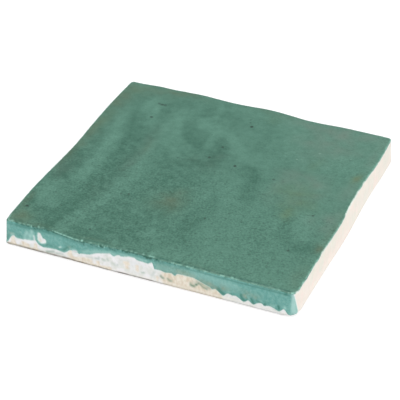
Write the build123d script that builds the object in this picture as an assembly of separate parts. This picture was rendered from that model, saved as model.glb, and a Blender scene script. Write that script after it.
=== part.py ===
from build123d import *
import math
import os

# One hand-made square wall tile of fired clay, glazed on its broad upper face.
# The clay was pressed flat by hand and cut to size with a wire before firing. The underside is
# therefore flat, the four cut walls lean in a little towards the glazed face, and the glazed
# face rises and falls in shallow swells that run roughly from the front wall to the back one.
# Body, slip and glaze were fused in the kiln, so the tile is one solid.
#
# Frame: the origin is the middle of the underside, +X runs along the front wall, +Y runs from
# the front wall to the back wall, and +Z goes up through the glazed face. Sizes are millimetres.

# The cut blank, measured at its underside
tile_width = 100.4
tile_depth = 99.1
# From the underside to the mean level of the glazed face
tile_thickness = 9.7
# How far each wall has come in by the time it reaches the glazed face: front, right, back, left
wall_leans = (0.65, 0.5, 0.1, 0.1)

# The upright corners, each as it stood on the bench and as it reaches the glazed face:
# front left, front right, back right, back left. The front right one was knocked round while
# the clay was soft, so its foot is the widest.
bench_corner_radii = (1.1, 4.2, 1.2, 1.6)
face_corner_radii = (1.2, 1.8, 1.4, 1.2)
# Cut by hand, the foot is a little out of square: how far each corner lies off, in X and Y
bench_corner_shifts = ((0.0, -0.15), (-0.1, 0.25), (0.35, 0.0), (0.0, 0.0))
# Soft edges: the glaze rounds over the upper one, and the lower one was wiped with a sponge.
face_edge_radius = 0.8
bench_edge_radius = 0.7

# How far each wall wanders outwards (+) or inwards (-) of a straight line, at evenly spaced
# stations between the wall's two corners: front, right, back, left.
bench_wanders = (
    (0.0, 0.1, 0.1, 0.1, 0.2, 0.1, 0.1, 0.0, 0.0, 0.0, 0.0),
    (0.0, 0.0, 0.1, 0.2, 0.4, 0.4, 0.1, -0.2, -0.2, 0.0, 0.0),
    (0.0, 0.0, 0.0, 0.0, 0.0, 0.0, 0.0, 0.0, 0.0, 0.0, 0.0),
    (0.0, 0.0, 0.0, 0.0, 0.0, 0.0, 0.0, 0.0, 0.0, 0.0, 0.0),
)
face_wanders = (
    (0.0, -0.2, -0.3, 0.4, 0.1, 0.0, 0.1, 0.0, 0.0, 0.1, 0.0),
    (0.0, 0.0, 0.1, 0.3, 0.4, 0.1, -0.3, -0.3, 0.3, 0.5, 0.2),
    (0.0, 0.1, 0.0, -0.2, 0.3, 0.4, 0.1, 0.5, 0.5, 0.2, -0.1),
    (0.0, 0.3, 0.4, 0.2, -0.2, -0.5, -0.2, 0.2, 0.5, 0.2, 0.0),
)

# The swells of the glazed face. Each is a long low mound (+) or trough (-): its middle as a
# share of the tile's width and depth, its half width along X, its half length along Y, and
# its height.
swells = (
    (-0.39, 0.00, 4.0, 34.0, 0.32),
    (-0.31, 0.02, 4.5, 40.0, -0.26),
    (-0.22, 0.20, 6.0, 42.0, 0.34),
    (-0.24, -0.50, 6.0, 14.0, -0.62),
    (-0.35, -0.50, 5.0, 12.0, 0.26),
    (-0.07, 0.12, 8.0, 26.0, -0.24),
    (0.05, 0.46, 8.0, 20.0, 0.36),
    (0.21, 0.46, 9.0, 20.0, -0.34),
    (0.12, -0.08, 9.0, 30.0, 0.14),
    (0.34, -0.14, 10.0, 26.0, -0.20),
)
# Stations of the surface that carries the swells, along each side
surface_stations = 25
# How far that surface runs past the walls before they trim it
surface_overrun = 3.0


def face_height(x, y):
    """The glazed face's height over the underside at a point."""
    height = tile_thickness
    for across, along, half_width, half_length, rise in swells:
        u = (x - across * tile_width) / half_width
        v = (y - along * tile_depth) / half_length
        height += rise * math.exp(-(u * u + v * v))
    return height


def wandering_side(start, end, wander):
    """One side of an outline: a smooth curve that leaves and meets its corners in line."""
    run = end - start
    ahead = run.normalized()
    outwards = Vector(ahead.Y, -ahead.X, 0)
    last = len(wander) - 1
    points = [start]
    for i in range(1, last):
        points.append(start + run * (i / last) + outwards * wander[i])
    points.append(end)
    return Edge.make_spline(points, tangents=[ahead, ahead])


def outline(height, insets, corner_shifts, corner_radii, wanders):
    """The tile's outline at one height, as a face: four sides and four round corners."""
    front, right, back, left = insets
    squared = (
        Vector(left - tile_width / 2, front - tile_depth / 2, height),
        Vector(tile_width / 2 - right, front - tile_depth / 2, height),
        Vector(tile_width / 2 - right, tile_depth / 2 - back, height),
        Vector(left - tile_width / 2, tile_depth / 2 - back, height),
    )
    corners = [corner + Vector(dx, dy, 0) for corner, (dx, dy) in zip(squared, corner_shifts)]
    edges = []
    for i, wander in enumerate(wanders):
        here, there, beyond = corners[i], corners[(i + 1) % 4], corners[(i + 2) % 4]
        ahead = (there - here).normalized()
        turned = (beyond - there).normalized()
        start = here + ahead * corner_radii[i]
        end = there - ahead * corner_radii[(i + 1) % 4]
        edges.append(wandering_side(start, end, wander))
        after = there + turned * corner_radii[(i + 1) % 4]
        edges.append(Edge.make_tangent_arc(end, ahead, after))
    return Face(Wire(edges))


def blank():
    """The cut clay blank, standing a little taller than the highest swell."""
    headroom = sum(max(rise, 0.0) for *_, rise in swells)
    top = tile_thickness + headroom
    insets = [lean * top / tile_thickness for lean in wall_leans]
    upright = (0.0, 0.0, 0.0, 0.0)
    unshifted = ((0.0, 0.0), (0.0, 0.0), (0.0, 0.0), (0.0, 0.0))
    foot = outline(0.0, upright, bench_corner_shifts, bench_corner_radii, bench_wanders)
    head = outline(top, insets, unshifted, face_corner_radii, face_wanders)
    return Solid.make_loft([foot.outer_wire(), head.outer_wire()], ruled=True)


def swollen_face():
    """The glazed face as one smooth surface, before the walls trim it."""
    span_x = tile_width + 2 * surface_overrun
    span_y = tile_depth + 2 * surface_overrun
    rows = []
    for i in range(surface_stations):
        x = span_x * (i / (surface_stations - 1) - 0.5)
        row = []
        for j in range(surface_stations):
            y = span_y * (j / (surface_stations - 1) - 0.5)
            row.append(Vector(x, y, face_height(x, y)))
        rows.append(row)
    return Face.make_surface_from_array_of_points(rows, min_deg=3)


def wall_tile():
    """The blank trimmed by its glazed face, with its edges softened."""
    above = Solid.extrude(swollen_face(), Vector(0, 0, tile_thickness))
    tile = (blank() - above).solids()[0]
    foot_edges = tile.faces().sort_by(Axis.Z)[0].edges()
    tile = tile.fillet(bench_edge_radius, foot_edges)
    rim_edges = tile.faces().sort_by(Axis.Z)[-1].edges()
    return tile.fillet(face_edge_radius, rim_edges)


os.makedirs("parts", exist_ok=True)
export_step(wall_tile(), "parts/wall_tile.step")
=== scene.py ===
import math

import bpy
import numpy as np
from mathutils import Matrix, Vector, noise
from mathutils.bvhtree import BVHTree


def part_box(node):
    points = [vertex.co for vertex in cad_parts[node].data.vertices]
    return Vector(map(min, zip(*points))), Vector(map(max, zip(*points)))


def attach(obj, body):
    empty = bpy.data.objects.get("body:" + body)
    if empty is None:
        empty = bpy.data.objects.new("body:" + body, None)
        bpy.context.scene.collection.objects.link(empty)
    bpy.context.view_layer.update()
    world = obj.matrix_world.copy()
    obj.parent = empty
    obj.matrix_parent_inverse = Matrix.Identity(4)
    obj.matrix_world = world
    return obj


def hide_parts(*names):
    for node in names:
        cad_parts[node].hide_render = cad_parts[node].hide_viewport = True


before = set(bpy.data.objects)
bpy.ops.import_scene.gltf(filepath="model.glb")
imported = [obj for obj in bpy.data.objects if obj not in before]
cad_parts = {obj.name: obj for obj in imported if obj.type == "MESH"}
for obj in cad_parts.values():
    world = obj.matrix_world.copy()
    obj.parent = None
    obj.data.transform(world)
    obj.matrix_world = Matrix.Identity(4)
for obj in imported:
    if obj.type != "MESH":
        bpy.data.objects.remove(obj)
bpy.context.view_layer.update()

# The camera
# A long lens stands well back from the tile's front right corner and looks down on it,
# level but for a slight turn of the hand, with the tile filling the picture from side to side.
photo_width_px = 400
lens_px = 1634.0
sensor_mm = 36.0
camera_turn = math.radians(22.2)
camera_rise = math.radians(33.92)
camera_roll = math.radians(0.87)
camera_distance = 0.555
aim_right = -0.00209
aim_up = 0.00036

away = Vector((
    math.sin(camera_turn) * math.cos(camera_rise),
    -math.cos(camera_turn) * math.cos(camera_rise),
    math.sin(camera_rise),
))
level_right = Vector((math.cos(camera_turn), math.sin(camera_turn), 0.0))
level_up = away.cross(level_right)
camera_right = level_right * math.cos(camera_roll) + level_up * math.sin(camera_roll)
camera_up = level_up * math.cos(camera_roll) - level_right * math.sin(camera_roll)
camera_place = away * camera_distance + level_right * aim_right + level_up * aim_up

camera_data = bpy.data.cameras.new("long_lens")
camera_data.sensor_width = sensor_mm
camera_data.lens = lens_px * sensor_mm / photo_width_px
camera_data.clip_start = 0.01
camera_data.clip_end = 20.0
camera = bpy.data.objects.new("long_lens", camera_data)
turned = Matrix((camera_right, camera_up, away)).transposed().to_4x4()
camera.matrix_world = Matrix.Translation(camera_place) @ turned
bpy.context.scene.collection.objects.link(camera)
bpy.context.scene.camera = camera

# The tile's body
# One slab of pale clay, pressed flat by hand on a bench and cut square with a wire, fired once
# with white slip on its walls and again under green glaze. Its shape is taken from the frame:
# the walls and the swollen face are felt out, smoothed, and drawn again as one fine skin.
mm = 0.001
# How round the arris and the foot are: front, right, back and left wall
rim_rounds = (0.8, 0.8, 0.45, 0.45)
foot_rounds = (1.05, 0.75, 0.75, 0.75)
knocked_foot_round, knocked_reach = 1.7, 2.5
# The face is a square field of cells, and a band of this width runs from it over the arris,
# with a row of the skin at each of these shares of the way.
field_margin = 3.0
field_shares = (0.17, 0.34, 0.5, 0.65, 0.78, 0.89, 1.0)
cells_across = 146
cells_along = 144
corner_steps = 12
wall_rows = 30
# How far apart the face is felt out, and how far each reading is blended with the next
reading_pitch = 0.5
reading_blend = 1.5
wall_blend = 1.2

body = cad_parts["wall_tile"].data
body_points = [v.co / mm for v in body.vertices]
body_faces = [tuple(p.vertices) for p in body.polygons]
solid = BVHTree.FromPolygons(body_points, body_faces)
low, high = (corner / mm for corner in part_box("wall_tile"))


def smoothed(values, reach, axis=0, wraps=False):
    """Values blended with their neighbours along an axis by a bell curve of that reach."""
    half = max(1, int(3 * reach))
    bell = np.exp(-0.5 * (np.arange(-half, half + 1) / reach) ** 2)
    bell /= bell.sum()
    pad = [(0, 0)] * values.ndim
    pad[axis] = (half, half)
    padded = np.pad(values, pad, mode="wrap" if wraps else "edge")
    return np.apply_along_axis(lambda line: np.convolve(line, bell, "valid"), axis, padded)


def felt_face():
    """The heights of the glazed face on an even net, and the net's two axes."""
    clear_of_edge = 1.6
    xs = np.arange(low.x, high.x + reading_pitch, reading_pitch)
    ys = np.arange(low.y, high.y + reading_pitch, reading_pitch)
    heights = np.zeros((len(xs), len(ys)))
    for i, x in enumerate(np.clip(xs, low.x + clear_of_edge, high.x - clear_of_edge)):
        for j, y in enumerate(np.clip(ys, low.y + clear_of_edge, high.y - clear_of_edge)):
            hit = solid.ray_cast(Vector((x, y, high.z + 1)), Vector((0, 0, -1)))[0]
            heights[i, j] = hit.z
    reach = reading_blend / reading_pitch
    return xs, ys, smoothed(smoothed(heights, reach, 0), reach, 1)


net_x, net_y, net_height = felt_face()


def face_height(x, y):
    """The smoothed height of the glazed face at points, read between the net's knots."""
    u = np.clip((x - net_x[0]) / reading_pitch, 0, len(net_x) - 1.001)
    v = np.clip((y - net_y[0]) / reading_pitch, 0, len(net_y) - 1.001)
    i, j = u.astype(int), v.astype(int)
    u, v = u - i, v - j
    near = net_height[i, j] * (1 - u) + net_height[i + 1, j] * u
    far = net_height[i, j + 1] * (1 - u) + net_height[i + 1, j + 1] * u
    return near * (1 - v) + far * v


# The stations go round the tile from its front left corner, front wall first. Each has the
# point of the field's border that it starts from, the way out to the wall, and its wall.
field_left, field_right = low.x + field_margin, high.x - field_margin
field_front, field_back = low.y + field_margin, high.y - field_margin
field_corners = [
    np.array((field_left, field_front)),
    np.array((field_right, field_front)),
    np.array((field_right, field_back)),
    np.array((field_left, field_back)),
]
side_cells = [2 * cells_across, 2 * cells_along, 2 * cells_across, 2 * cells_along]
side_starts = [sum(side_cells[:k]) for k in range(4)]
border_count = sum(side_cells)
station_base, station_turn, station_side, station_hub = [], [], [], []
for side in range(4):
    begin, end = field_corners[side], field_corners[(side + 1) % 4]
    facing = math.radians(-90 + 90 * side)
    for step in range(side_cells[side] + 1):
        station_base.append(begin + (end - begin) * step / side_cells[side])
        station_turn.append(facing)
        station_side.append(side)
        station_hub.append((side_starts[side] + step) % border_count)
    for step in range(1, corner_steps):
        station_base.append(end)
        station_turn.append(facing + math.radians(90) * step / corner_steps)
        station_side.append(side if step <= corner_steps // 2 else (side + 1) % 4)
        station_hub.append((side_starts[side] + side_cells[side]) % border_count)
station_base = np.array(station_base)
station_out = np.stack([np.cos(station_turn), np.sin(station_turn)], 1)
station_side = np.array(station_side)
station_count = len(station_side)


def from_corner(number):
    """How far each station starts from one corner of the field."""
    return np.hypot(*(station_base - field_corners[number]).T)


def felt_wall(level):
    """How far each station is from the wall at one height, smoothed but for the corners."""
    crisp_near, soft_beyond = 2.0, 7.0
    reaches = []
    for base, out in zip(station_base, station_out):
        start = Vector((*base, level))
        reaches.append(solid.ray_cast(start, Vector((*out, 0)))[3])
    reaches = np.array(reaches)
    pitch = (field_right - field_left) / side_cells[0]
    crisp = smoothed(reaches, 0.8, wraps=True)
    soft = smoothed(reaches, wall_blend / pitch, wraps=True)
    to_corner = np.min([from_corner(k) for k in range(4)], axis=0)
    share = np.clip((to_corner - crisp_near) / (soft_beyond - crisp_near), 0, 1)
    return crisp + (soft - crisp) * share


upper_level, lower_level = high.z - 2.5, 1.5
wall_upper, wall_lower = felt_wall(upper_level), felt_wall(lower_level)


def wall_reach(height):
    """How far each station is from the straight drawn wall at given heights."""
    share = (height - lower_level) / (upper_level - lower_level)
    return wall_lower + (wall_upper - wall_lower) * share


def wobble(points, size, seed):
    """Soft noise between about -1 and 1 at points, with lumps about as wide as size."""
    shift = Vector((17.3, 5.1, 9.7)) * seed
    return np.array([noise.noise(Vector(p) / size + shift) for p in points])


# The profile goes from the field over the arris, down the wall and under the foot. Each row
# holds how far out it is and how high, and which way its skin faces: 1 up, 0 out, -1 down.
rim_level = high.z - 1.0
rim_reach = wall_reach(np.full(station_count, rim_level))
rim_place = station_base + station_out * rim_reach[:, None]
arris_points = np.column_stack([rim_place, np.zeros(station_count)])
corner_blend = 8
rim = smoothed(np.array(rim_rounds)[station_side], corner_blend, wraps=True)
rim *= 1 + 0.25 * wobble(arris_points, 2.6, 1) + 0.12 * wobble(arris_points, 0.9, 2)
# The front left corner is worn rounder, and so is the back arris towards its two ends.
wear, wear_reach = 0.9, 3.0
rim *= 1 + wear * np.clip(1 - from_corner(0) / wear_reach, 0, 1)
for corner, wear, wear_reach in ((3, 0.85, 8.0), (2, 0.3, 14.0)):
    worn = (station_side == 2) * np.clip(1 - from_corner(corner) / wear_reach, 0, 1)
    rim += wear * smoothed(worn, 4, wraps=True)
edge_place = station_base + station_out * (rim_reach - rim)[:, None]
edge_height = face_height(edge_place[:, 0], edge_place[:, 1])
foot = smoothed(np.array(foot_rounds)[station_side], corner_blend, wraps=True)
foot += (knocked_foot_round - foot) * np.clip(1 - from_corner(1) / knocked_reach, 0, 1)
rows_out, rows_up, rows_facing, rows_fall = [], [], [], []


def add_row(out, up, facing, fall):
    """One more row of the skin, with how far each of its points lies below the face."""
    rows_out.append(out)
    rows_up.append(up)
    rows_facing.append(np.full(station_count, facing))
    rows_fall.append(fall)


for share in field_shares:
    out = (rim_reach - rim) * share
    place = station_base + station_out * out[:, None]
    add_row(out, face_height(place[:, 0], place[:, 1]), 1.0, np.zeros(station_count))
arris_steps = 6
for step in range(1, arris_steps + 1):
    angle = math.radians(90) * (1 - step / arris_steps)
    out = rim_reach - rim + rim * math.cos(angle)
    drop = rim * (1 - math.sin(angle))
    add_row(out, edge_height - drop, math.sin(angle), drop)
wall_top = edge_height - rim
for step in range(1, wall_rows + 1):
    up = wall_top + (foot - wall_top) * step / wall_rows
    add_row(wall_reach(up) + (rim_reach - wall_reach(wall_top)) * (1 - step / wall_rows),
            up, 0.0, edge_height - up)
foot_reach = rows_out[-1]
foot_steps = 4
for step in range(1, foot_steps + 1):
    angle = math.radians(90) * step / foot_steps
    out = foot_reach - foot * (1 - math.cos(angle))
    up = foot * (1 - math.sin(angle))
    add_row(out, up, -math.sin(angle), edge_height - up)
for share in (0.7, 0.4):
    out = (foot_reach - foot) * share
    add_row(out, np.zeros(station_count), -1.0, edge_height)
row_count = len(rows_out)
arris_row = len(field_shares) + arris_steps // 2
foot_row = len(field_shares) + arris_steps + wall_rows + foot_steps // 2

ring_out, ring_up = np.array(rows_out), np.array(rows_up)
ring_place = station_base[None] + station_out[None] * ring_out[..., None]
ring_points = np.concatenate([ring_place, ring_up[..., None]], 2).reshape(-1, 3)
facing = np.array(rows_facing).reshape(-1)
outwards = np.sqrt(np.clip(1 - facing ** 2, 0, 1))[:, None]
ring_normals = np.column_stack([np.tile(station_out, (row_count, 1)) * outwards, facing])
ring_fall = np.array(rows_fall).reshape(-1)
ring_side = np.tile(station_side, row_count)

border_base = [None] * border_count
for base, hub in zip(station_base, station_hub):
    border_base[hub] = base
border_base = np.array(border_base)


def border_knot(i, j):
    """The border's own number for a knot of the field's net that lies on the border."""
    across, along = side_cells[0], side_cells[1]
    if j == 0:
        return side_starts[0] + i
    if i == across:
        return side_starts[1] + j
    if j == along:
        return side_starts[2] + across - i
    return (side_starts[3] + along - j) % border_count


def plate(stride, first_border, first_inner):
    """The knots and faces of one flat field, whose cells are stride border steps wide."""
    across, along = side_cells[0], side_cells[1]
    numbers, inner, faces = {}, [], []
    for j in range(along + 1):
        for i in range(across + 1):
            if i in (0, across) or j in (0, along):
                numbers[i, j] = first_border + border_knot(i, j)
            elif i % stride == 0 and j % stride == 0:
                numbers[i, j] = first_inner + len(inner)
                inner.append((i / across, j / along))
    # Each cell takes its four corners and every knot of the border that lies on its sides.
    for j in range(0, along, stride):
        for i in range(0, across, stride):
            walk = [(i + k, j) for k in range(stride)]
            walk += [(i + stride, j + k) for k in range(stride)]
            walk += [(i + stride - k, j + stride) for k in range(stride)]
            walk += [(i, j + stride - k) for k in range(stride)]
            faces.append([numbers[knot] for knot in walk if knot in numbers])
    spread = np.array(inner)
    x = field_left + (field_right - field_left) * spread[:, 0]
    y = field_front + (field_back - field_front) * spread[:, 1]
    return np.column_stack([x, y]), faces


ring_total = row_count * station_count
top_border, under_border = ring_total, ring_total + border_count
top_inner_start = ring_total + 2 * border_count
top_inner, top_faces = plate(2, top_border, top_inner_start)
under_inner_start = top_inner_start + len(top_inner)
under_inner, under_faces = plate(4, under_border, under_inner_start)

skin_points = np.concatenate([
    ring_points,
    np.column_stack([border_base, face_height(*border_base.T)]),
    np.column_stack([border_base, np.zeros(border_count)]),
    np.column_stack([top_inner, face_height(*top_inner.T)]),
    np.column_stack([under_inner, np.zeros(len(under_inner))]),
])
flat_counts = (border_count, border_count, len(top_inner), len(under_inner))
flat_facing = np.repeat((1.0, -1.0, 1.0, -1.0), flat_counts)
flat_fall = np.repeat((0.0, high.z, 0.0, high.z), flat_counts)
skin_normals = np.concatenate([ring_normals, flat_facing[:, None] * (0.0, 0.0, 1.0)])
skin_side = np.concatenate([ring_side, np.full(len(flat_facing), -1)])
skin_fall = np.concatenate([ring_fall, flat_fall])
x, y, z = skin_points.T
facing_up = skin_normals[:, 2]
on_face, underneath = facing_up > 0.5, facing_up <= -0.9
on_wall = (skin_side >= 0) & (facing_up < 0.9) & ~underneath
front, right_wall, back_wall = (skin_side == k for k in range(3))

# The glaze on the face
# A satin copper-green glaze, poured over the face. It lies thin and pale on the crests of the
# swells and deep in their troughs, and the streaks are also painted sheen where the swells
# catch the light, so light and dark streaks run from front to back, and iron in the clay has
# bled through it in brown patches.
# Each streak is its half width, how pale (+) or deep (-) it is, and the points (x, y) that it
# runs through.
streaks = (
    (2.7, 0.95, -43.3, 29, -41.4, 18, -39.5, 6, -38.7, -4, -38.5, -17),
    (3.4, 0.7, -46, -25, -44.5, -31, -42.5, -35), (3.6, 0.9, -36.5, 38, -35, 31, -33, 24),
    (2.6, 0.3, -45, 46, -43.5, 43), (4.8, 0.85, -22.5, 35, -22.5, 26, -21.5, 17),
    (1.6, 0.5, -24.5, 12, -24.2, 5),
    (2.8, 0.75, -23.2, 2, -22.7, -10, -24.5, -20, -28, -30, -30.5, -40, -31, -48),
    (3.4, 0.85, -14, 32, -7, 29, -2, 26, 4, 20, 9, 15), (1.6, 0.6, -8, 26, -7, 20),
    (3, 0.35, -15.5, 12, -13.5, 14), (3.6, 0.4, 3, 3, 3.5, -13), (1.8, 0.45, 16, 15.5, 17.5, 13),
    (1.8, 0.3, 14.5, -7.5, 16.5, -9), (2, 0.3, -35.5, -3, -33, -12), (2.2, 0.25, -25, -7, -20, -3),
    (1.5, 0.6, -18.5, 12, -16.8, 7), (1.8, 0.65, -48, 5, -47, 2), (2.2, 0.35, -3.5, 22, 3.5, 28),
    (1.6, 0.35, -6, 42, 2.5, 37), (1.8, 0.3, -34.5, 37.5, -30, 32.5),
    (2.2, 0.55, -47, -27, -44, -29), (2.2, 0.25, -16, -38, -13, -38.5), (1.8, 0.35, 5, -39, 6, -41),
    (1.6, 0.4, 36.2, -16, 36.4, -18), (1.8, 0.3, 35, 31, 38, 30.5),
    (1.8, 0.35, 31.8, -16, 32.4, -19), (1.7, 0.4, -23.5, -23, -24.5, -32), (1.4, 0.3, 9, 26, 7, 25),
    (1.4, 0.3, 36.8, -10, 36.8, -15), (2.8, 0.6, 2, -46, 8.5, -46), (2.6, 0.3, 34, -45.5, 42, -45),
    (1.8, 0.3, 39, -26, 39.4, -28.5), (3, 0.3, 34, 22, 46, 21.5), (2.2, 0.35, -7, 45.5, 7, 44.5),
    (3.4, 0.4, 9.5, 2, 10.5, -12), (1.5, 0.75, -4.7, -31, -4.2, -40),
    (3.2, 0.55, 37.5, -8, 40.5, -20), (8, 0.3, 14, -18, 20, -40), (1.3, 0.55, -12.5, 46, -11.5, 37),
    (4.2, 0.35, 15, 44, 20, 34, 24, 22), (3.6, 0.35, 36, 29, 43, 27),
    (3.9, -0.85, -37, 27, -34, 16, -31.8, 5, -31, -8, -31.8, -20, -34, -33, -37, -45),
    (3, -0.7, -46.5, -3, -46.5, -9, -46.3, -19), (1.8, -0.5, -30.7, 40, -29.5, 25),
    (1.8, -0.45, -28.4, 20, -26.8, 9, -27.2, -5), (1.5, 0.35, -31, 8, -31, 0),
    (1.8, -0.35, -43.2, 12, -42.6, -4), (1.8, -0.3, 7.5, 39, 7.5, 33),
    (1, -0.6, -47, -48, -35, -48), (1.3, 0.5, 48.6, -18, 48.6, -21),
    (1.6, 0.3, 13.5, 17.5, 14.5, 15), (1.2, 0.5, 48.8, 31, 48.8, 27),
    (1.6, -0.35, -37.4, 41, -37, 38), (1.6, -0.4, -11, 23, -10, 21),
    (1.8, -0.3, -27.5, -23, -29.5, -35), (3, -0.45, -43.5, -11, -43.5, -17),
    (2, -0.65, -46.5, -13, -46, -17), (1.8, -0.4, -44.5, 30, -42.5, 28),
    (3, -0.45, -26, 41, -19, 35), (2, -0.3, -40.5, 43, -39, 39), (2.2, -0.35, 9, 8.5, 11, 5),
    (1.6, -0.3, -47.5, 29.5, -44, 29), (4, -0.2, -21, 16, -19.5, 4),
    (3, -0.95, -18.5, 29, -15.5, 21, -12, 18), (2.8, -1, -4, 24, -2, 18, -1, 12),
    (2.5, -0.85, -3, 8, -9, 6, -13, 5), (5.4, -0.5, -7, 15, -6, 12), (2.2, -0.35, -18.5, 7, -17, 6),
    (2.2, -0.5, -1.5, 8.5, -1.2, 4), (2.5, -1, 10.3, 12, 13, 9, 16, 4.5),
    (2.6, -0.65, 15.5, 1, 16.5, -4, 17.5, -6.5), (6.5, -0.45, -14, -2, -6, -5),
    (3, -0.58, 8, -13, 7.5, -20, 5, -28, 5, -38), (7, -0.45, -20, -32, -10, -38),
    (2.6, -0.8, 35, -13.5, 35.6, -20, 37.5, -24.5), (3.2, -1, 42.5, -26, 46.5, -24.5),
    (4, -0.2, 46.5, -2, 46.5, -14), (4, -0.35, 34.5, 4, 34, -7), (2.6, -0.25, 23, 14, 29, 14),
    (3, -0.2, -29, 45, -20, 44), (3.2, -0.2, -27, 36, -20, 33), (3.2, -0.2, 25, 6, 26, 2),
    (3.5, -0.22, 46, -19, 46, -32), (3, -0.2, -15, 15, -14, 11), (3, -0.2, 5, 16, 6, 12),
    (2.8, -0.25, -30, -45.5, -22, -45.5), (2.6, -0.25, -45, 17, -44.5, 12),
    (1.8, -0.3, -19.5, -46, -18, -46), (2, -0.45, -47, -35, -44, -38),
    (2.4, -0.2, -17, -17, -16, -19), (3.4, -0.5, -6, -21, -5, -32), (4, -0.18, -10, -6, -9, -20),
    (3, -0.42, -35, -46, -16, -45.5), (2.2, -0.35, -42.5, -37, -41.5, -40),
    (2.4, -0.55, -16.5, 44, -15, 38), (3, -0.5, -9, 41, -3, 38, 2, 36),
    (2.2, -0.45, 8.5, 45, 9.5, 32, 10.5, 23), (2.4, -0.4, -24, -24, -20, -20),
)
# Each stain is its middle (x, y), its half width and half length, and its strength.
rust_stains = (
    (-48.8, 35, 4, 8, 1), (-48.8, 12, 3.2, 11, 0.8), (-49.3, -4, 1.8, 8, 0.8),
    (-43, 45, 9, 4.5, 0.5), (-30, 47, 8, 2, 0.9), (-47, -45, 4.2, 3.4, 0.9),
    (-49, -36, 1.6, 5, 0.7), (-40, -48, 5, 1.3, 0.25), (-38, -48.2, 5, 0.9, 0.25),
    (-18, -48, 6, 1, 0.5), (22, -48.4, 12, 0.7, 0.35), (47.5, -41, 2.6, 7, 0.4),
    (-3.5, -13.5, 3, 3.5, 0.5), (-6, -19.2, 5, 5, 1.2), (47.3, 19, 1, 2.4, 1.3),
    (48.4, -23.5, 1.4, 2.8, 1.4), (8, 48, 9, 1.4, 0.5), (49, -12, 1.2, 8, 0.5),
    (-25.6, 9, 1.4, 4.5, 0.35),
)
olive_stains = (
    (31, 3, 3.5, 5, 0.65), (31.5, -7, 2.6, 4.5, 0.75), (33, -11, 2.2, 3, 0.6), (36, -3, 4, 4, 0.7),
    (31, 22, 2.5, 4, 0.4), (8, 44, 3, 3, 0.4), (26, 3, 3.5, 4, 0.35), (36, 5, 3, 4, 0.3),
    (-46, 43, 3, 3, 0.5), (-48, 18, 2, 9, 0.4), (46.8, 19, 1.3, 2.8, 1.3), (-46, -44, 3.5, 4, 0.4),
)
rose_stains = (
    (31, 40, 10, 6, 0.6), (22, 46, 8, 3, 0.7), (27, 12, 5, 5, 0.7), (46.5, 11, 2.6, 6, 0.8),
    (41, -10, 3, 4, 0.4), (30, 31, 8, 8, 0.5), (24, 8, 2.4, 4, 0.5), (34, 46, 8, 3, 0.9),
    (38, 34, 6, 4, 0.4), (24, 35, 4, 3, 0.5), (44, 46, 5, 3, 0.7), (48, 34, 2, 9, 0.6),
    (38, 5, 4, 5, 0.55), (32.5, 5, 3, 3, 0.4), (47, -8, 2.8, 7, 0.9), (35, 12, 4, 4, 0.9),
    (25, 0, 4, 6, 0.45), (32, -2, 4, 5, 0.5), (-27.6, 15, 2.2, 7, 0.3), (-27.4, -2, 2.2, 8, 0.35),
    (-25, 8.5, 2, 4.5, 0.2), (-47, -14, 3.2, 6, 0.5), (-5, 7, 7, 4, 0.2), (-1, 14, 2.5, 4, 0.2),
    (-30, -20, 3, 8, 0.15),
)


def smooth_step(values, start, end):
    """0 below start, 1 above end, and a soft rise between them."""
    share = np.clip((values - start) / (end - start), 0, 1)
    return share * share * (3 - 2 * share)


def band(values, middle, spread):
    """1 where the values lie at the middle, fading to 0 on both sides of it."""
    return np.exp(-((values - middle) / spread) ** 2)


def to_line(px, py, line):
    """The distance of points from a line drawn through a few others, or from a single one."""
    nearest = np.hypot(px - line[0][0], py - line[0][1])
    for (ax, ay), (bx, by) in zip(line[:-1], line[1:]):
        run_x, run_y = bx - ax, by - ay
        share = ((px - ax) * run_x + (py - ay) * run_y) / (run_x ** 2 + run_y ** 2)
        share = np.clip(share, 0, 1)
        nearest = np.minimum(nearest, np.hypot(px - ax - share * run_x, py - ay - share * run_y))
    return nearest


def stains(px, py, blots):
    """How strongly the blots colour points, each fading out from its middle."""
    total = np.zeros(len(px))
    for mid_x, mid_y, half_width, half_length, strength in blots:
        u, v = (px - mid_x) / half_width, (py - mid_y) / half_length
        total += strength * np.exp(-(u * u + v * v))
    return total


def brushed(px, py, strokes, edge=2.0):
    """How strongly the strokes colour points. A higher edge gives each a flatter middle."""
    total = np.zeros(len(px))
    for half_width, strength, *run in strokes:
        apart = to_line(px, py, list(zip(run[::2], run[1::2])))
        total += strength * np.exp(-(apart / half_width) ** edge)
    return total


flat_points = np.column_stack([x, y, np.zeros(len(x))])
drift_x = 0.9 * wobble(flat_points, 6, 3) + 0.6 * wobble(flat_points, 2, 4)
drift_y = 1.6 * wobble(flat_points, 6, 5) + 0.9 * wobble(flat_points, 2.5, 6)
drifted_x, drifted_y = x + drift_x, y + drift_y
# The streaks, partly glaze depth and partly painted sheen
tone = brushed(drifted_x, drifted_y, streaks, edge=3.0)
stretched = np.column_stack([x, y * 0.35, np.zeros(len(x))])
tone += 0.22 * wobble(stretched, 3.2, 7) + 0.14 * wobble(flat_points, 9, 8)
# Painted light: the face is made paler towards the right, the back and the edges, as the light
# falls across it, and deeper over the middle and towards the left and the front.
half_side = 50
u, v = x / half_side, y / half_side
tone += 0.33 * u + 0.16 * v + 0.22 * (u ** 2 + v ** 2) - 0.2
rust = stains(drifted_x, drifted_y, rust_stains) * (0.85 + 0.5 * wobble(flat_points, 3, 9))
olive = stains(drifted_x, drifted_y, olive_stains) * (0.9 + 0.8 * wobble(flat_points, 3, 28))
rose = stains(drifted_x, drifted_y, rose_stains) * (0.9 + 0.8 * wobble(flat_points, 4, 10))
# The grain is coarse where the glaze ran thick towards the front, and finer at the back.
grit = 0.6 + 1.0 * smooth_step(-y, -24, 22) + 0.3 * wobble(flat_points, 12, 27)
grit *= 1 - 0.28 * smooth_step(-x, -12, 10) * smooth_step(y, -8, 12)
grit *= 1 + 0.7 * smooth_step(x, 12, 34) * smooth_step(y, 5, 28)
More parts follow.
